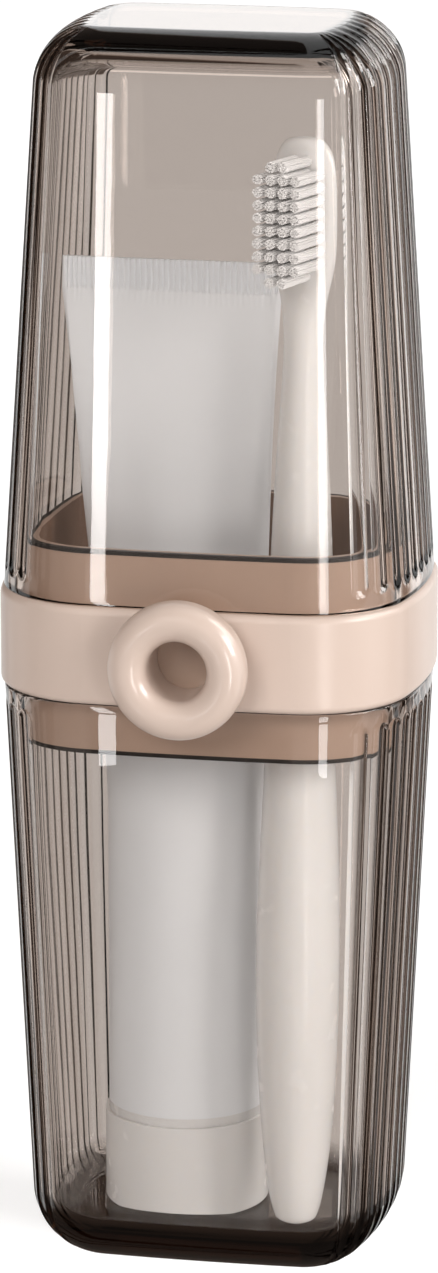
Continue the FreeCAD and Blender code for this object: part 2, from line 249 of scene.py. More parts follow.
# %% The surround
surround_light = 0.36
card_brown = (1.0, 0.76, 0.62)
white = (1.0, 1.0, 1.0)
world = bpy.data.worlds.new("surround")
world.use_nodes = True
bpy.context.scene.world = world
surround = world.node_tree
background = surround.nodes["Background"]
camera_path = surround.nodes.new("ShaderNodeLightPath")
seen_shade = mixed_value(surround, camera_path.outputs["Is Camera Ray"], all_cards(surround), 1.0)
strength = mixed_value(surround, seen_ray(surround), surround_light, seen_shade)
surround.links.new(strength, background.inputs["Strength"])
surround.links.new(mixed_colour(surround, seen_shade, card_brown, white), background.inputs["Color"])
print("surround light", surround_light)

# %% [markdown]
# ## Floor and the shade under the case
# The case stands on a pale sheet. Lamps alone would have to be too strong for the case before they made
# the sheet white. So the floor also glows a little for rays that are seen, and more far out, where the
# lamps are weak: it comes out white and still keeps a soft shadow. Clear walls look past the floor to
# the backdrop and its cards, and a small dark disc stands in for the shade under the base. Only rays
# through clear walls see that disc.

# %% The floor
disc_sides = 96
floor_radius = 2.5
floor_drop = 0.2 * MM
floor_shade = 0.72
floor_roughness = 0.9
floor_gloss = 0.1
floor_glow_near = 0.45
floor_glow_rise = 0.31
floor_glow_most = 0.76


def add_disc(name, radius, drop):
    """A flat round sheet that lies just under the case."""
    bpy.ops.object.select_all(action="DESELECT")
    bpy.ops.mesh.primitive_circle_add(
        vertices=disc_sides, radius=radius, fill_type="NGON", location=(0, 0, -drop)
    )
    disc = bpy.context.object
    disc.name = name
    return disc


def new_material(name):
    """A new material, with its node tree and its main shader."""
    material = bpy.data.materials.new(name)
    material.use_nodes = True
    return material, material.node_tree, material.node_tree.nodes["Principled BSDF"]


floor = add_disc("floor", floor_radius, floor_drop)
floor_paint, floor_tree, floor_shader = new_material("floor_paint")
floor_shader.inputs["Base Color"].default_value = (floor_shade, floor_shade, floor_shade, 1)
floor_shader.inputs["Roughness"].default_value = floor_roughness
floor_shader.inputs["Specular IOR Level"].default_value = floor_gloss
floor_shader.inputs["Emission Color"].default_value = (*white, 1)
risen_glow = math_node(floor_tree, "MULTIPLY", off_axis(floor_tree), floor_glow_rise)
full_glow = math_node(floor_tree, "ADD", risen_glow, floor_glow_near)
held_glow = math_node(floor_tree, "MINIMUM", full_glow, floor_glow_most)
glow = math_node(floor_tree, "MULTIPLY", held_glow, seen_ray(floor_tree))
floor_tree.links.new(glow, floor_shader.inputs["Emission Strength"])
floor.data.materials.append(floor_paint)
floor.visible_glossy = False
floor.visible_transmission = False
print("floor radius", floor_radius)

# %% The shade under the case
under_inner = 30 * MM
under_outer = 58 * MM
under_drop = 0.1 * MM
under_shade = 0.05
under = add_disc("under_shade", under_outer, under_drop)
under_paint, under_tree, under_shader = new_material("under_paint")
under_tree.nodes.remove(under_shader)
dark = under_tree.nodes.new("ShaderNodeEmission")
dark.inputs["Color"].default_value = (*card_brown, 1)
dark.inputs["Strength"].default_value = under_shade
clear = under_tree.nodes.new("ShaderNodeBsdfTransparent")
fade = under_tree.nodes.new("ShaderNodeMixShader")
faded = soft_step(under_tree, off_axis(under_tree), under_inner, under_outer)
under_tree.links.new(faded, fade.inputs[0])
under_tree.links.new(dark.outputs[0], fade.inputs[1])
under_tree.links.new(clear.outputs[0], fade.inputs[2])
under_tree.links.new(fade.outputs[0], under_tree.nodes["Material Output"].inputs["Surface"])
under.data.materials.append(under_paint)
under.visible_camera = False
under.visible_diffuse = False
under.visible_glossy = False
under.visible_shadow = False
print("shade under the case to", under_outer)

# %% [markdown]
# ## Lamps
# A large soft lamp at the right models the round forms. One in front, a little to the left, fills their
# shade, and a faint one lights the back. A gloss mirrors neither of these two, because the lid would
# show them as pale bars. The flat front mirrors two upright softboxes as two long white streaks, and
# the flat top mirrors a panel that stands behind. Sun or point lamps would do for the shading, but area
# lamps also give a gloss a shape to mirror.

# %% Lamps
case_middle = (0, 0, 0.11)
case_top = (0, 0, 0.21)
# A lamp is its place, the point that it faces, its width and height in metres, and its watts.
lamps = {
    "key_lamp": ((1.0, -0.35, 0.55), case_middle, 0.5, 0.5, 10.0),
    "fill_lamp": ((-0.22, -1.05, 0.68), case_middle, 0.5, 0.5, 6.1),
    "back_lamp": ((0.35, 1.1, 0.65), case_middle, 0.5, 0.5, 2.2),
    "left_strip": ((-0.254, -0.80, -0.001), (-0.017, -0.03, -0.001), 0.019, 0.421, 0.26),
    "right_softbox": ((0.464, -0.771, -0.013), (0, 0, -0.013), 0.15, 0.446, 1.9),
    "top_panel": ((-0.26, 1.27, 0.41), case_top, 0.22, 0.14, 0.074),
}
unmirrored_lamps = ("fill_lamp", "back_lamp")


def add_lamp(name, place, target, width, height, watts):
    """A soft rectangular lamp that faces a point."""
    bpy.ops.object.select_all(action="DESELECT")
    bpy.ops.object.light_add(type="AREA", location=place)
    lamp = bpy.context.object
    lamp.name = name
    lamp.rotation_euler = (Vector(target) - Vector(place)).to_track_quat("-Z", "Y").to_euler()
    lamp.data.shape = "RECTANGLE"
    lamp.data.size = width
    lamp.data.size_y = height
    lamp.data.energy = watts
    return lamp


for name, settings in lamps.items():
    lamp = add_lamp(name, *settings)
    if name in unmirrored_lamps:
        lamp.visible_glossy = False
        lamp.visible_transmission = False
print("lamps", ", ".join(lamps))

# %% [markdown]
# ## Smoky clear plastic
# The shells are tinted right through, so a thin wall is pale and a thick edge is nearly black. A
# coloured glass surface would tint both alike. Volume Absorption works along the way that a ray takes
# inside, so it gives the dark edges by itself. A wide and very shallow bump bends the reflections a
# little, as on a moulded wall.

# %% Clear plastic
plastic_index = 1.49
smoke_colour = (0.305, 0.17, 0.074)
smoke_density = 176.0
wall_waves = 40
wall_wave_depth = 0.02 * MM


def noise(tree, scale):
    """A soft pattern in the piece's own coordinates, with scale as blotches in a metre."""
    place = tree.nodes.new("ShaderNodeTexCoord")
    pattern = tree.nodes.new("ShaderNodeTexNoise")
    pattern.inputs["Scale"].default_value = scale
    tree.links.new(place.outputs["Object"], pattern.inputs["Vector"])
    return pattern.outputs["Fac"]


def bump(tree, height, depth):
    """Small unevenness of the surface from a pattern, with its depth in metres."""
    relief = tree.nodes.new("ShaderNodeBump")
    relief.inputs["Distance"].default_value = depth
    tree.links.new(height, relief.inputs["Height"])
    return relief.outputs["Normal"]


smoky_clear, smoky_tree, smoky_shader = new_material("smoky_clear")
smoky_shader.inputs["Base Color"].default_value = (*white, 1)
smoky_shader.inputs["Roughness"].default_value = 0.0
smoky_shader.inputs["IOR"].default_value = plastic_index
smoky_shader.inputs["Transmission Weight"].default_value = 1.0
waves = bump(smoky_tree, noise(smoky_tree, wall_waves), wall_wave_depth)
smoky_tree.links.new(waves, smoky_shader.inputs["Normal"])
smoke = smoky_tree.nodes.new("ShaderNodeVolumeAbsorption")
smoke.inputs["Color"].default_value = (*smoke_colour, 1)
smoke.inputs["Density"].default_value = smoke_density
smoky_tree.links.new(smoke.outputs[0], smoky_tree.nodes["Material Output"].inputs["Volume"])
print("made", smoky_clear.name)

# %% [markdown]
# ## The two clear shells
# Each shell is one thick wall: its outside leans in from the rim, rounds over its end, and has upright
# reeds on the two narrow sides. Cutting the reeds with a Boolean leaves slivers that show as scratches
# in clear plastic. So a primitive grid is wrapped round the case instead, with a column of points for
# each place on a reed and a row for each height. Its seam is merged, its two ends are filled, and the
# lid's tongues are pulled out of its rim by an extrude. Light that bends through a clear wall is slow to
# trace and leaves bright specks, so the shells throw no shadow: lamps and soft light reach the brush and
# the tube straight, and only the view through the walls is tinted.

# %% Sizes of the shells
cup_low, cup_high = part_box("cup_shell")
lid_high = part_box("lid_shell")[1]
band_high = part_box("collar_band")[1]
case_width = cup_high.x - cup_low.x
case_depth = cup_high.y - cup_low.y
corner_radius = 17.5 * MM
inner_corner_radius = 14.5 * MM
side_crown = 1.0 * MM
front_crown = 0.4 * MM
wall = 3.0 * MM
cup_floor = 6.5 * MM
cup_draft = 0.0477
cup_edge_radius = 12.0 * MM
lid_top = 4.6 * MM
lid_draft = 0.0634
lid_edge_radius = 10.0 * MM
cavity_radius = 5.5 * MM
rim_round = 0.4 * MM
# The rims stay just off the collar band, and a ring just inside each flat end keeps its shading flat.
rim_lift = 0.05 * MM
cap_support = 0.8 * MM

# A reed is a shallow groove with a round section. It ends short of the rim, and runs out on the edge
# of the closed end.
reed_count = 13
reed_pitch = 4.3 * MM
reed_radius = 3.1 * MM
reed_depth = 0.5 * MM
reed_offset = reed_radius - reed_depth
reed_half_width = math.sqrt(reed_radius**2 - reed_offset**2)
reed_rim_margin = 4.2 * MM
reed_run_out = math.radians(65)

tongue_width = 4.4 * MM
tongue_middle = 9.5 * MM
tongue_length = 9.0 * MM
tongue_in_from = 1.2 * MM
tongue_in_to = 2.2 * MM
print("case", round(case_width / MM, 2), "by", round(case_depth / MM, 2), "mm")


# %% The plan of the case
def plan_arcs(width, depth, corner):
    """Eight arcs in a row, each as its centre's x and y, its radius, and its first and last angle."""
    corner_x = width / 2 - corner - side_crown
    corner_y = depth / 2 - corner - front_crown
    side_radius = (corner_y**2 + (corner + side_crown) ** 2 - corner**2) / (2 * side_crown)
    front_radius = (corner_x**2 + (corner + front_crown) ** 2 - corner**2) / (2 * front_crown)
    side_turn = math.asin(corner_y / (side_radius - corner))
    front_turn = math.asin(corner_x / (front_radius - corner))
    arcs = []
    for side in range(4):
        middle = side * math.pi / 2
        reach, radius, turn, next_turn = width / 2, side_radius, side_turn, front_turn
        if side % 2 == 1:
            reach, radius, turn, next_turn = depth / 2, front_radius, front_turn, side_turn
        out = reach - radius
        centre_x = out * math.cos(middle)
        centre_y = out * math.sin(middle)
        arcs.append((centre_x, centre_y, radius, middle - turn, middle + turn))
        diagonal = middle + math.pi / 4
        centre_x = math.copysign(corner_x, math.cos(diagonal))
        centre_y = math.copysign(corner_y, math.sin(diagonal))
        arcs.append((centre_x, centre_y, corner, middle + turn, middle + math.pi / 2 - next_turn))
    return np.array(arcs)


outer_plan = plan_arcs(case_width, case_depth, corner_radius)
inner_plan = plan_arcs(case_width - 2 * wall, case_depth - 2 * wall, inner_corner_radius)
arc_radii, arc_firsts, arc_lasts = outer_plan.T[2:]
arc_lengths = arc_radii * (arc_lasts - arc_firsts)
girth = arc_lengths.sum()
print("girth", round(girth / MM, 1), "mm")

# %% Columns round the case
steps_on_half_reed = 5
columns_on_flat = 15
length_digits = 7


def quarter_columns():
    """Lengths along the plan from the middle of a narrow side to the middle of the front."""
    across = np.linspace(0, reed_half_width, steps_on_half_reed + 1)
    lengths = []
    for reed in range(reed_count // 2 + 1):
        middle = reed * reed_pitch
        lengths += [middle - a for a in across[:0:-1]] + [middle + a for a in across]
        lengths.append(middle + reed_pitch / 2)
    flat = np.linspace(lengths[-1], girth / 4, columns_on_flat + 1)[1:]
    edges = [tongue_middle - tongue_width / 2, tongue_middle + tongue_width / 2]
    lengths += list(flat) + [girth / 4 - e for e in edges]
    return np.unique(np.round([s for s in lengths if s >= 0], length_digits))


# Half a turn of columns, with how far each lies from the middle of its reed, and then the whole turn.
quarter = quarter_columns()
half = np.concatenate([-quarter[:0:-1], quarter[:-1]])
nearest_reed = np.round(half / reed_pitch)
on_a_reed = np.abs(nearest_reed) <= reed_count // 2
off_reed = np.where(on_a_reed, np.abs(half - nearest_reed * reed_pitch), girth)
off_reed = np.concatenate([off_reed, off_reed])
columns = np.concatenate([half, half + girth / 2])

# The arc that each column stands on, and its share of the way along that arc.
ends = np.cumsum(arc_lengths)
along = np.mod(columns + arc_lengths[0] / 2, girth)
column_arc = np.minimum(np.searchsorted(ends, along, side="right"), len(ends) - 1)
column_share = (along - (ends - arc_lengths)[column_arc]) / arc_lengths[column_arc]
print("columns", len(columns))


# %% Rings of a shell
def ring_points(plan, inset, rise, depth=0.0, lean=0.0):
    """A ring of the plan, drawn in by an inset and raised, with its points sunk along their normals."""
    centre_x, centre_y, radius, first, last = plan[column_arc].T
    angle = first + column_share * (last - first)
    out = radius - inset - depth * math.cos(lean)
    x = centre_x + out * np.cos(angle)
    y = centre_y + out * np.sin(angle)
    return np.stack([x, y, rise - depth * math.sin(lean) + 0 * x], axis=1)


def reed_sink(rise, past_run_out=0.0, edge_radius=0.0):
    """How deep each column's reed is at a rise above the rim, or past its run-out on the end's edge."""
    below_end = max(reed_rim_margin - rise, 0)
    room = reed_radius**2 - off_reed**2 - below_end**2
    lifted = (edge_radius + reed_offset) * (1 / math.cos(past_run_out) - 1)
    return np.maximum(np.sqrt(np.maximum(room, 0)) - reed_offset - lifted, 0)


def edge_inset(bend, radius, lean, angle):
    """How far in from the rim a rounded edge stands, where its surface faces up at an angle."""
    return (bend * math.sin(lean) + radius) / math.cos(lean) - radius * math.cos(angle)


# %% Rows of a shell
rows_on_edge = 26
rows_on_wall = 7
rows_on_reed_end = 8
rows_on_rim_round = 5
rows_on_inner_wall = 5
rows_in_cavity_end = 20


def outside_rings(height, draft, edge_radius):
    """Rings from the middle of the end, over its rounded edge and along the wall to the rim."""
    lean = math.atan(draft)
    bend = height - edge_radius
    rings = []
    for angle in np.linspace(math.pi / 2, lean, rows_on_edge):
        inset = edge_inset(bend, edge_radius, lean, angle)
        rise = bend + edge_radius * math.sin(angle)
        if not rings:
            rings.append(ring_points(outer_plan, inset + cap_support, rise))
        depth = reed_sink(rise, max(angle - reed_run_out, 0), edge_radius)
        rings.append(ring_points(outer_plan, inset, rise, depth, angle))
    reed_end = reed_rim_margin - reed_half_width
    wall_rises = np.linspace(bend + edge_radius * math.sin(lean), reed_rim_margin, rows_on_wall)[1:]
    reed_end_rises = np.linspace(reed_rim_margin, reed_end, rows_on_reed_end)[1:]
    for rise in [*wall_rises, *reed_end_rises, reed_end / 2]:
        rings.append(ring_points(outer_plan, draft * rise, rise, reed_sink(rise), lean))
    return rings


def rim_rings():
    """Rings across the rim, whose two edges have a small round."""
    rings = []
    for turn in np.linspace(0, math.pi / 2, rows_on_rim_round):
        inset = rim_round * (1 - math.cos(turn))
        rings.append(ring_points(outer_plan, inset, rim_round * (1 - math.sin(turn))))
    for inset in (tongue_in_from, tongue_in_to):
        rings.append(ring_points(outer_plan, inset, 0))
    for turn in np.linspace(math.pi / 2, 0, rows_on_rim_round):
        inset = -rim_round * (1 - math.cos(turn))
        rings.append(ring_points(inner_plan, inset, rim_round * (1 - math.sin(turn))))
    return rings


def inside_rings(height, draft, end_wall):
    """Rings from the rim along the inner wall and round the closed end of the hollow."""
    lean = math.atan(draft)
    bend = height - end_wall - cavity_radius
    rings = []
    for rise in np.linspace(rim_round, bend, rows_on_inner_wall)[1:-1]:
        rings.append(ring_points(inner_plan, draft * rise, rise))
    for angle in np.linspace(lean, math.pi / 2, rows_in_cavity_end):
        inset = edge_inset(bend, cavity_radius, lean, angle)
        rings.append(ring_points(inner_plan, inset, bend + cavity_radius * math.sin(angle)))
    rings.append(ring_points(inner_plan, inset + cap_support, bend + cavity_radius))
    return rings


def shell_rings(height, draft, edge_radius, end_wall):
    """All rings of a shell that stands on its rim."""
    outside = outside_rings(height, draft, edge_radius)
    inside = inside_rings(height, draft, end_wall)
    return np.array(outside + rim_rings() + inside)


# %% Wrap a grid into a closed skin
merge_distance = 0.001 * MM
crease_angle = 28


def wrap_rings(name, rings):
    """A closed mesh through rings of points, from a primitive grid."""
    row_count, column_count = rings.shape[:2]
    bpy.ops.object.select_all(action="DESELECT")
    bpy.ops.mesh.primitive_grid_add(x_subdivisions=column_count, y_subdivisions=row_count - 1)
    piece = bpy.context.object
    piece.name = name
    wrapped = np.concatenate([rings, rings[:, :1]], axis=1)
    piece.data.vertices.foreach_set("co", wrapped.astype(np.float32).ravel())
    bpy.ops.object.mode_set(mode="EDIT")
    bpy.ops.mesh.select_all(action="SELECT")
    bpy.ops.mesh.remove_doubles(threshold=merge_distance)
    bpy.ops.mesh.select_all(action="SELECT")
    bpy.ops.mesh.fill_holes(sides=0)
    bpy.ops.mesh.select_all(action="SELECT")
    bpy.ops.mesh.normals_make_consistent(inside=False)
    bpy.ops.object.mode_set(mode="OBJECT")
    return piece


def select_only(piece):
    """Makes a piece the only one that the next operator acts on."""
    bpy.ops.object.select_all(action="DESELECT")
    piece.select_set(True)
    bpy.context.view_layer.objects.active = piece


def smooth_by_angle(piece, degrees):
    """Smooth shading, except over edges that turn by more than an angle."""
    select_only(piece)
    bpy.ops.object.shade_smooth_by_angle(angle=math.radians(degrees))


def finish_piece(piece, material, body, replaced):
    """Gives a piece its finish and the body it rides on, and hides the solid that it stands for."""
    piece.data.materials.clear()
    piece.data.materials.append(material)
    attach(piece, body)
    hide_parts(replaced)
    print(piece.name, "faces", len(piece.data.polygons))


def let_light_in(piece):
    """Lets lamps and soft light reach what stands inside a clear piece."""
    piece.visible_shadow = False
    piece.visible_diffuse = False


# %% Make the cup
cup_rim = cup_high.z - rim_lift
cup_rings = shell_rings(cup_high.z - cup_low.z - rim_lift, cup_draft, cup_edge_radius, cup_floor)
cup_rings[:, :, 2] = cup_rim - cup_rings[:, :, 2]
cup_glass = wrap_rings("cup_glass", cup_rings)
smooth_by_angle(cup_glass, crease_angle)
finish_piece(cup_glass, smoky_clear, "cup", "cup_shell")
let_light_in(cup_glass)

# %% Make the lid
lid_rim = band_high.z + rim_lift
lid_rings = shell_rings(lid_high.z - lid_rim, lid_draft, lid_edge_radius, lid_top)
lid_rings[:, :, 2] += lid_rim
lid_glass = wrap_rings("lid_glass", lid_rings)
print("lid rim at", round(lid_rim / MM, 2), "mm")

# %% Pull the tongues out of the lid's rim
same_height = 0.01 * MM
strip_slack = 0.1 * MM


def is_tongue_face(face):
    """True on the strip of the rim that the two front tongues grow from."""
    middle = face.center
    front_edge = -case_depth / 2
    on_rim = abs(middle.z - lid_rim) < same_height and middle.y < 0
    in_strip = front_edge + tongue_in_from < middle.y < front_edge + tongue_in_to + strip_slack
    return on_rim and in_strip and abs(abs(middle.x) - tongue_middle) < tongue_width / 2


def select_faces(mesh, is_wanted):
    """Selects the faces that a test picks, with their corners, and nothing else."""
    for edge in mesh.edges:
        edge.select = False
    for vertex in mesh.vertices:
        vertex.select = False
    for face in mesh.polygons:
        face.select = is_wanted(face)
        if face.select:
            for index in face.vertices:
                mesh.vertices[index].select = True


select_faces(lid_glass.data, is_tongue_face)
bpy.ops.object.mode_set(mode="EDIT")
bpy.ops.mesh.select_mode(type="FACE")
bpy.ops.mesh.extrude_region_move(TRANSFORM_OT_translate={"value": (0, 0, -tongue_length)})
bpy.ops.object.mode_set(mode="OBJECT")
smooth_by_angle(lid_glass, crease_angle)
finish_piece(lid_glass, smoky_clear, "lid", "lid_shell")
let_light_in(lid_glass)

# %% [markdown]
# ## Cream plastic of the collar and the button
# The collar band is satin, the ring in front has a sharp gloss over the same cream, and the inner sleeve
# is a deeper taupe. Such colours are nearly even, so the detail is in the gloss: a soft pattern varies
# the roughness a little, and a very fine bump breaks the reflections as a moulded skin does. The solids
# are kept, and only their material slots change. On its inside the sleeve gets painted shade, a deeper
# colour where it lies in its own shade. Its two walls are one solid, so its shader tells them apart: an
# inner wall faces the upright line through the middle of the case.

# %% Cream plastic
colour_blotches = 90
gloss_blotches = 260
skin_grain = 2200
coat_roughness = 0.05
fine_grain = 0.004 * MM


def make_plastic(name, pale, deep, roughness, coat=0.0, grain=fine_grain):
    """An opaque moulded plastic with a slightly uneven colour and a roughness within a range."""
    material, tree, shader = new_material(name)
    colour = mixed_colour(tree, noise(tree, colour_blotches), deep, pale)
    tree.links.new(colour, shader.inputs["Base Color"])
    gloss = scaled(tree, noise(tree, gloss_blotches), *roughness)
    tree.links.new(gloss, shader.inputs["Roughness"])
    tree.links.new(bump(tree, noise(tree, skin_grain), grain), shader.inputs["Normal"])
    shader.inputs["Coat Weight"].default_value = coat
    shader.inputs["Coat Roughness"].default_value = coat_roughness
    return material


def dress(node, material):
    """Gives a kept solid its finish."""
    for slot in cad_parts[node].material_slots:
        slot.material = material


cream_pale = (0.60, 0.475, 0.405)
cream_deep = (0.575, 0.45, 0.38)
glossy_cream = make_plastic("glossy_cream", cream_pale, cream_deep, roughness=(0.28, 0.36), coat=0.5)
dress("ring_button", glossy_cream)
satin_cream = make_plastic("satin_cream", cream_pale, cream_deep, roughness=(0.26, 0.34))
dress("collar_band", satin_cream)
print("dressed the ring and the band")

# %% Sleeve and seals
taupe_pale = (0.46, 0.33, 0.255)
taupe_deep = (0.43, 0.30, 0.23)
# Painted shade for the sleeve's inner wall, which lies in its own shade.
taupe_painted_shade = (0.21, 0.135, 0.098)
inward_reach = 2.0 * MM
rubber_pale = (0.022, 0.018, 0.016)
rubber_deep = (0.012, 0.010, 0.009)
rubber_grain = 0.01 * MM


def paint_shade_inside(material, painted_shade_colour):
    """Paints shade on a ring-shaped piece: a deeper colour where its surface faces its own upright axis.
    """
    tree = material.node_tree
    colour = tree.nodes["Principled BSDF"].inputs["Base Color"]
    place = tree.nodes.new("ShaderNodeTexCoord")
    from_axis = tree.nodes.new("ShaderNodeVectorMath")
    from_axis.operation = "MULTIPLY"
    from_axis.inputs[1].default_value = (1, 1, 0)
    tree.links.new(place.outputs["Object"], from_axis.inputs[0])
    facing_out = tree.nodes.new("ShaderNodeVectorMath")
    facing_out.operation = "DOT_PRODUCT"
    tree.links.new(from_axis.outputs["Vector"], facing_out.inputs[0])
    tree.links.new(place.outputs["Normal"], facing_out.inputs[1])
    # Painted shade: the wall that faces the axis takes the deeper colour.
    inside = soft_step(tree, facing_out.outputs["Value"], 0.0, -inward_reach)
    tree.links.new(mixed_colour(tree, inside, colour.links[0].from_socket, painted_shade_colour), colour)


sleeve_taupe = make_plastic("sleeve_taupe", taupe_pale, taupe_deep, roughness=(0.28, 0.40), coat=0.2)
# Painted shade where the sleeve and the clamp face the case's axis.
paint_shade_inside(sleeve_taupe, taupe_painted_shade)
for node in ("collar_sleeve", "clamp_plate"):
    dress(node, sleeve_taupe)
black_rubber = make_plastic(
    "black_rubber", rubber_pale, rubber_deep, roughness=(0.45, 0.6), grain=rubber_grain
)
for node in ("lid_seal", "cup_seal"):
    dress(node, black_rubber)
print("dressed the sleeve, the clamp and the seals")

# %% [markdown]
# ## Spring behind the button
# A coned ring of thin steel sheet. The imported solid is stiff, so the plate would pass through it when
# the button is pressed. Its section is spun here instead.

# %% Spring steel
steel_blotches = 400
steel_gloss_blotches = 900
steel_dull = (0.55, 0.54, 0.52)
steel_bright = (0.66, 0.65, 0.63)
steel_roughness = (0.22, 0.38)
spring_steel, spring_tree, spring_shader = new_material("spring_steel")
spring_shader.inputs["Metallic"].default_value = 1.0
steel = mixed_colour(spring_tree, noise(spring_tree, steel_blotches), steel_dull, steel_bright)
spring_tree.links.new(steel, spring_shader.inputs["Base Color"])
steel_gloss = scaled(spring_tree, noise(spring_tree, steel_gloss_blotches), *steel_roughness)
spring_tree.links.new(steel_gloss, spring_shader.inputs["Roughness"])
print("made", spring_steel.name)

# %% Spin the spring
spring_low, spring_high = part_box("button_spring")
spring_middle = (spring_low.z + spring_high.z) / 2
spring_large = (spring_high.x - spring_low.x) / 2
spring_small = 3.5 * MM
spring_sheet = 0.2 * MM
spring_steps = 96
bpy.ops.object.select_all(action="DESELECT")
bpy.ops.mesh.primitive_plane_add()
spring_cone = bpy.context.object
spring_cone.name = "spring_cone"
section = (
    (spring_small, spring_low.y),
    (spring_small + spring_sheet, spring_low.y),
    (spring_large - spring_sheet, spring_high.y),
    (spring_large, spring_high.y),
)
for corner, (out, depth) in zip(spring_cone.data.vertices, section):
    corner.co = (out, depth, spring_middle)
bpy.ops.object.mode_set(mode="EDIT")
bpy.ops.mesh.select_all(action="SELECT")
bpy.ops.mesh.delete(type="ONLY_FACE")
bpy.ops.mesh.select_all(action="SELECT")
bpy.ops.mesh.spin(steps=spring_steps, angle=math.tau, center=(0, 0, spring_middle), axis=(0, 1, 0))
bpy.ops.mesh.select_all(action="SELECT")
bpy.ops.mesh.remove_doubles(threshold=merge_distance)
bpy.ops.mesh.normals_make_consistent(inside=False)
bpy.ops.object.mode_set(mode="OBJECT")
smooth_by_angle(spring_cone, crease_angle)
finish_piece(spring_cone, spring_steel, "collar", "button_spring")
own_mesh(spring_cone)

# %% [markdown]
# ## Toothbrush handle
# One smooth plastic body swells at the grip, thins to the neck and flattens into the head. It could be
# spun from a profile, but the head isn't round. So a small circle at the tip is extruded ring after
# ring, each ring is resized on its own across and in depth, and Subdivision Surface rounds the steps.
# The plastic lets some light in under its skin, which softens the shade. The tube's cap and shoulder
# are of the same white and keep their solids.

# %% Toothbrush plastic
white_pale = (0.87, 0.86, 0.845)
white_deep = (0.84, 0.83, 0.815)
white_grain = 0.003 * MM
under_skin_share = 0.35
under_skin_colours = (1.0, 0.9, 0.8)
under_skin_reach = 2.5 * MM
brush_white = make_plastic(
    "brush_white", white_pale, white_deep, roughness=(0.22, 0.30), coat=0.3, grain=white_grain
)
brush_shader = brush_white.node_tree.nodes["Principled BSDF"]
brush_shader.inputs["Subsurface Weight"].default_value = under_skin_share
brush_shader.inputs["Subsurface Radius"].default_value = under_skin_colours
brush_shader.inputs["Subsurface Scale"].default_value = under_skin_reach
for node in ("tube_cap", "tube_shoulder"):
    dress(node, brush_white)
print("dressed the tube's cap and shoulder")

# %% Extrude the handle ring by ring
# A ring of the handle is its height above the tip, its width and its depth, all in millimetres.
handle_rings = [
    (0.0, 2.4, 2.4),
    (0.9, 5.4, 5.4),
    (3.4, 8.3, 8.3),
    (12.0, 11.0, 11.0),
    (28.0, 13.7, 13.7),
    (47.0, 14.6, 14.6),
    (62.0, 13.5, 13.5),
    (78.0, 12.0, 12.0),
    (95.0, 11.3, 11.3),
    (113.0, 10.7, 10.7),
    (132.0, 8.9, 8.9),
    (144.0, 7.1, 7.1),
    (151.0, 6.4, 6.2),
    (156.5, 7.2, 5.2),
    (160.5, 9.1, 4.7),
    (164.5, 10.9, 4.5),
    (169.0, 11.8, 4.4),
    (176.0, 11.9, 4.4),
    (181.0, 11.2, 4.3),
    (184.2, 8.7, 3.8),
    (185.6, 5.0, 2.6),
]
ring_sides = 20
rounding_levels = 2
bpy.ops.object.select_all(action="DESELECT")
bpy.ops.mesh.primitive_circle_add(
    vertices=ring_sides, radius=handle_rings[0][1] / 2 * MM, fill_type="NGON", location=(0, 0, 0)
)
brush_handle = bpy.context.object
brush_handle.name = "brush_handle"
bpy.ops.object.mode_set(mode="EDIT")
bpy.ops.mesh.select_all(action="SELECT")
for (low, low_width, low_depth), (high, width, depth) in zip(handle_rings, handle_rings[1:]):
    bpy.ops.mesh.extrude_region_move(TRANSFORM_OT_translate={"value": (0, 0, (high - low) * MM)})
    bpy.ops.transform.resize(value=(width / low_width, depth / low_depth, 1))
bpy.ops.mesh.select_all(action="SELECT")
bpy.ops.mesh.normals_make_consistent(inside=False)
bpy.ops.object.mode_set(mode="OBJECT")
rounding = brush_handle.modifiers.new("rounding", "SUBSURF")
rounding.levels = rounding_levels
rounding.render_levels = rounding_levels
bpy.ops.object.modifier_apply(modifier=rounding.name)
bpy.ops.object.shade_smooth()
print("handle of", len(handle_rings), "rings")

# %% Stand the handle in the cup
brush_lean = math.radians(1.8)
brush_turn = math.radians(13)
handle_low, handle_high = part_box("toothbrush_handle")
handle_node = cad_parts["toothbrush_handle"]
brush_tip = min((v.co for v in handle_node.data.vertices), key=lambda place: place.z).copy()
brush_tip.x = (handle_low.x + handle_high.x) / 2
brush_length = (handle_high.z - handle_low.z) / math.cos(brush_lean)


def stand_brush(piece):
    """Turns a piece of the brush, leans it back and stands it where the solid brush stands."""
    select_only(piece)
    piece.rotation_euler = (0, 0, -brush_turn)
    bpy.ops.object.transform_apply(location=True, rotation=True, scale=True)
    piece.rotation_euler = (-brush_lean, 0, 0)
    piece.location = brush_tip
    bpy.ops.object.transform_apply(location=True, rotation=True, scale=True)


stand_brush(brush_handle)
finish_piece(brush_handle, brush_white, "toothbrush", "toothbrush_handle")

# %% [markdown]
# ## Bristles
# The head carries thirty-six tufts, and each tuft is a bundle of fine nylon fibres. One fibre is a thin
# six-sided cone with a bevelled tip. It is duplicated into a round bundle in edit mode, and the bundle
# is duplicated over the head. A particle system would do it too, but leaves hair instead of a mesh. A
# seeded nudge of each tip keeps the bundles from looking stamped.

# %% One fibre
tuft_length = 9.5 * MM
tuft_root = 1.4 * MM
head_front = 2.2 * MM
head_length = 27.0 * MM
fibre_sides = 6
fibre_radius = 0.21 * MM
fibre_taper = 0.95
fibre_bevel = 0.25 * fibre_radius
fibre_reach = tuft_length + head_front - tuft_root

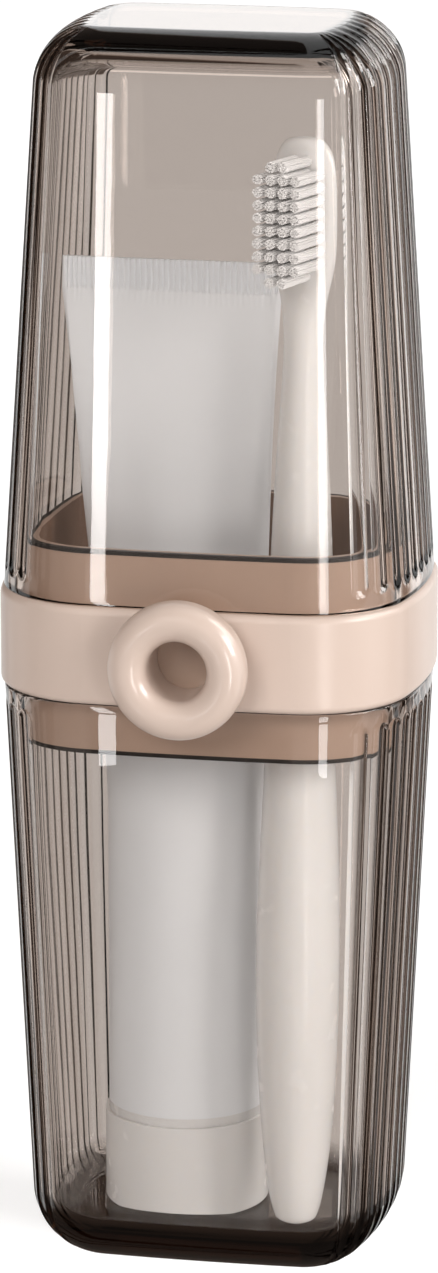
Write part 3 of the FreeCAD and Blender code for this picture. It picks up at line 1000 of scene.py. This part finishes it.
bpy.ops.object.select_all(action="DESELECT")
bpy.ops.mesh.primitive_cone_add(
    vertices=fibre_sides,
    radius1=fibre_radius,
    radius2=fibre_radius * fibre_taper,
    depth=fibre_reach,
    location=(0, -tuft_root - fibre_reach / 2, brush_length - head_length / 2),
    rotation=(math.radians(90), 0, 0),
)
brush_tufts = bpy.context.object
brush_tufts.name = "brush_tufts"
bpy.ops.object.transform_apply(location=True, rotation=True, scale=True)
fibre_points = brush_tufts.data.vertices
fibre_end = -tuft_root - fibre_reach + same_height
for edge in brush_tufts.data.edges:
    edge.select = all(fibre_points[v].co.y < fibre_end for v in edge.vertices)
for point in fibre_points:
    point.select = point.co.y < fibre_end
bpy.ops.object.mode_set(mode="EDIT")
bpy.ops.mesh.select_mode(type="EDGE")
bpy.ops.mesh.bevel(offset=fibre_bevel, segments=1)
bpy.ops.object.mode_set(mode="OBJECT")
fibre_vertices = len(brush_tufts.data.vertices)
print("points of a fibre", fibre_vertices)

# %% One tuft
fibre_pitch = 0.34 * MM
first_ring_fibres = 6
tuft_rings = (1, 2)
bundle = []
for ring in tuft_rings:
    for step in range(first_ring_fibres * ring):
        bundle.append((ring * fibre_pitch, step * math.tau / (first_ring_fibres * ring)))
bpy.ops.object.mode_set(mode="EDIT")
bpy.ops.mesh.select_all(action="SELECT")
last = (0.0, 0.0)
for reach, turn in bundle:
    spot = (reach * math.cos(turn), reach * math.sin(turn))
    bpy.ops.mesh.duplicate_move(
        TRANSFORM_OT_translate={"value": (spot[0] - last[0], 0, spot[1] - last[1])}
    )
    last = spot
bpy.ops.object.mode_set(mode="OBJECT")
print("fibres in a tuft", len(bundle) + 1)

# %% Copy the tuft over the head
tuft_columns = 4
tuft_rows = 10
tuft_end_columns = 2
tuft_pitch_across = 2.2 * MM
tuft_pitch_along = 2.1 * MM


def has_tuft(column, row):
    """The first and last rows have only their middle tufts, because the head is rounded."""
    in_end_row = row in (0, tuft_rows - 1)
    off_middle = abs(column - (tuft_columns - 1) / 2)
    return not in_end_row or off_middle < tuft_end_columns / 2


bpy.ops.object.mode_set(mode="EDIT")
bpy.ops.mesh.select_all(action="SELECT")
here = None
for column in range(tuft_columns):
    for row in range(tuft_rows):
        if not has_tuft(column, row):
            continue
        across = (column - (tuft_columns - 1) / 2) * tuft_pitch_across
        along_head = (row - (tuft_rows - 1) / 2) * tuft_pitch_along
        if here is None:
            bpy.ops.transform.translate(value=(across, 0, along_head))
        else:
            step = (across - here[0], 0, along_head - here[1])
            bpy.ops.mesh.duplicate_move(TRANSFORM_OT_translate={"value": step})
        here = (across, along_head)
bpy.ops.object.mode_set(mode="OBJECT")
tuft_vertices = fibre_vertices * (len(bundle) + 1)
print("tufts on the head", len(brush_tufts.data.vertices) // tuft_vertices)

# %% Nudge the tips and finish the bristles
nudge_seed = 7
tip_nudge = 0.05 * MM
most_nudge = 0.3 * MM
fibre_crease_angle = 50
nylon_pale = (0.95, 0.95, 0.95)
nylon_deep = (0.92, 0.92, 0.92)
nylon_grain = 0.002 * MM
fibre_places = np.zeros(len(brush_tufts.data.vertices) * 3)
brush_tufts.data.vertices.foreach_get("co", fibre_places)
fibre_places = fibre_places.reshape(-1, fibre_vertices, 3)
nudges = np.random.default_rng(nudge_seed).normal(0, 1, (len(fibre_places), 1, 3)) * tip_nudge
out_share = np.clip((-fibre_places[:, :, 1:2] - head_front) / tuft_length, 0, 1)
fibre_places += np.clip(nudges, -most_nudge, most_nudge) * out_share
brush_tufts.data.vertices.foreach_set("co", fibre_places.ravel())
brush_tufts.data.update()
smooth_by_angle(brush_tufts, fibre_crease_angle)
nylon = make_plastic("nylon", nylon_pale, nylon_deep, roughness=(0.30, 0.42), grain=nylon_grain)
stand_brush(brush_tufts)
finish_piece(brush_tufts, nylon, "toothbrush", "toothbrush_tufts")

# %% [markdown]
# ## Tube of toothpaste
# The tube is round at its shoulder, flattens and widens upwards, and ends in a crimp that is pressed
# into fine upright ribs. A soft skin like this could be squeezed by a cloth simulation, but it is stiff
# laminate, so its rings are set out by a formula and wrapped like the shells, with a few soft dents.

# %% Sizes of the tube
tube_low, tube_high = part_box("tube_body")
shoulder_low, shoulder_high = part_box("tube_shoulder")
tube_diameter = shoulder_high.x - shoulder_low.x
tube_x = (shoulder_low.x + shoulder_high.x) / 2
tube_y = (shoulder_low.y + shoulder_high.y) / 2
crimp_width = tube_high.x - tube_low.x
crimp_x = (tube_high.x + tube_low.x) / 2
crimp_forward = 4.0 * MM
crimp_y = tube_y - crimp_forward
crimp_height = 5.5 * MM
crimp_thickness = 1.4 * MM
crimp_bottom = tube_high.z - crimp_height
round_length = 50.0 * MM
round_top = tube_low.z + round_length
print("tube", round(tube_diameter / MM, 1), "mm, crimp", round(crimp_width / MM, 1), "mm wide")

# %% Rings of the tube
tube_columns = 320
rows_on_tube = 60
rows_on_crimp = 12
widening_power = 1.6
flattening_power = 4
crimp_edge_slope = 24
rib_count = 40
rib_depth = 0.3 * MM
rib_start = 0.4 * MM


def tube_ring(z):
    """One ring of the tube at a height: round below, flat and ribbed at the crimp."""
    share = min(max((z - round_top) / (crimp_bottom - round_top), 0), 1)
    width = tube_diameter + (crimp_width - tube_diameter) * share**widening_power
    thickness = tube_diameter + (crimp_thickness - 2 * rib_depth - tube_diameter) * share
    turn = np.arange(tube_columns) / tube_columns
    round_x = np.cos(math.tau * turn)
    round_y = np.sin(math.tau * turn)
    # Flattened, x runs evenly from edge to edge and back, and y is one on both faces.
    flat_x = np.abs(4 * turn - 2) - 1
    flat_y = np.sign(round_y) * np.minimum((1 - np.abs(flat_x)) * crimp_edge_slope, 1)
    flatness = share**flattening_power
    x = (round_x + (flat_x - round_x) * flatness) * width / 2
    y = (round_y + (flat_y - round_y) * flatness) * thickness / 2
    in_crimp = min(max((z - crimp_bottom) / rib_start, 0), 1)
    y += in_crimp * rib_depth * np.cos(math.tau * rib_count * (flat_x + 1) / 2) * np.abs(flat_y)
    x += tube_x + (crimp_x - tube_x) * share
    y += tube_y + (crimp_y - tube_y) * share
    return np.stack([x, y, z + 0 * x], axis=1)


body_heights = np.linspace(tube_low.z, crimp_bottom, rows_on_tube)
crimp_heights = np.linspace(crimp_bottom, tube_high.z, rows_on_crimp)[1:]
tube_rings = np.array([tube_ring(z) for z in [*body_heights, *crimp_heights]])
print("rings of the tube", len(tube_rings))

# %% Dent the tube and wrap it
# A dent is its place across and up, its reach across and up, and its depth.
dents = [
    (6.0 * MM, 118.0 * MM, 6.0 * MM, 16.0 * MM, 0.9 * MM),
    (-15.0 * MM, 125.0 * MM, 5.0 * MM, 20.0 * MM, 0.7 * MM),
]
skin_crease_angle = 50
laminate_pale = (0.89, 0.915, 0.94)
laminate_deep = (0.865, 0.89, 0.915)
for dent_x, dent_z, dent_wide, dent_tall, dent_depth in dents:
    off_x = (tube_rings[:, :, 0] - dent_x) / dent_wide
    off_z = (tube_rings[:, :, 2] - dent_z) / dent_tall
    in_front = tube_rings[:, :, 1] < tube_y
    tube_rings[:, :, 1] += dent_depth * np.exp(-(off_x**2) - off_z**2) * in_front
tube_skin = wrap_rings("tube_skin", tube_rings)
smooth_by_angle(tube_skin, skin_crease_angle)
tube_white = make_plastic("tube_white", laminate_pale, laminate_deep, roughness=(0.34, 0.46))
finish_piece(tube_skin, tube_white, "tube", "tube_body")

# %% [markdown]
# ## Colour view
# The Standard view shows each colour about as it is written.

# %% Colour view
bpy.context.scene.view_settings.view_transform = "Standard"
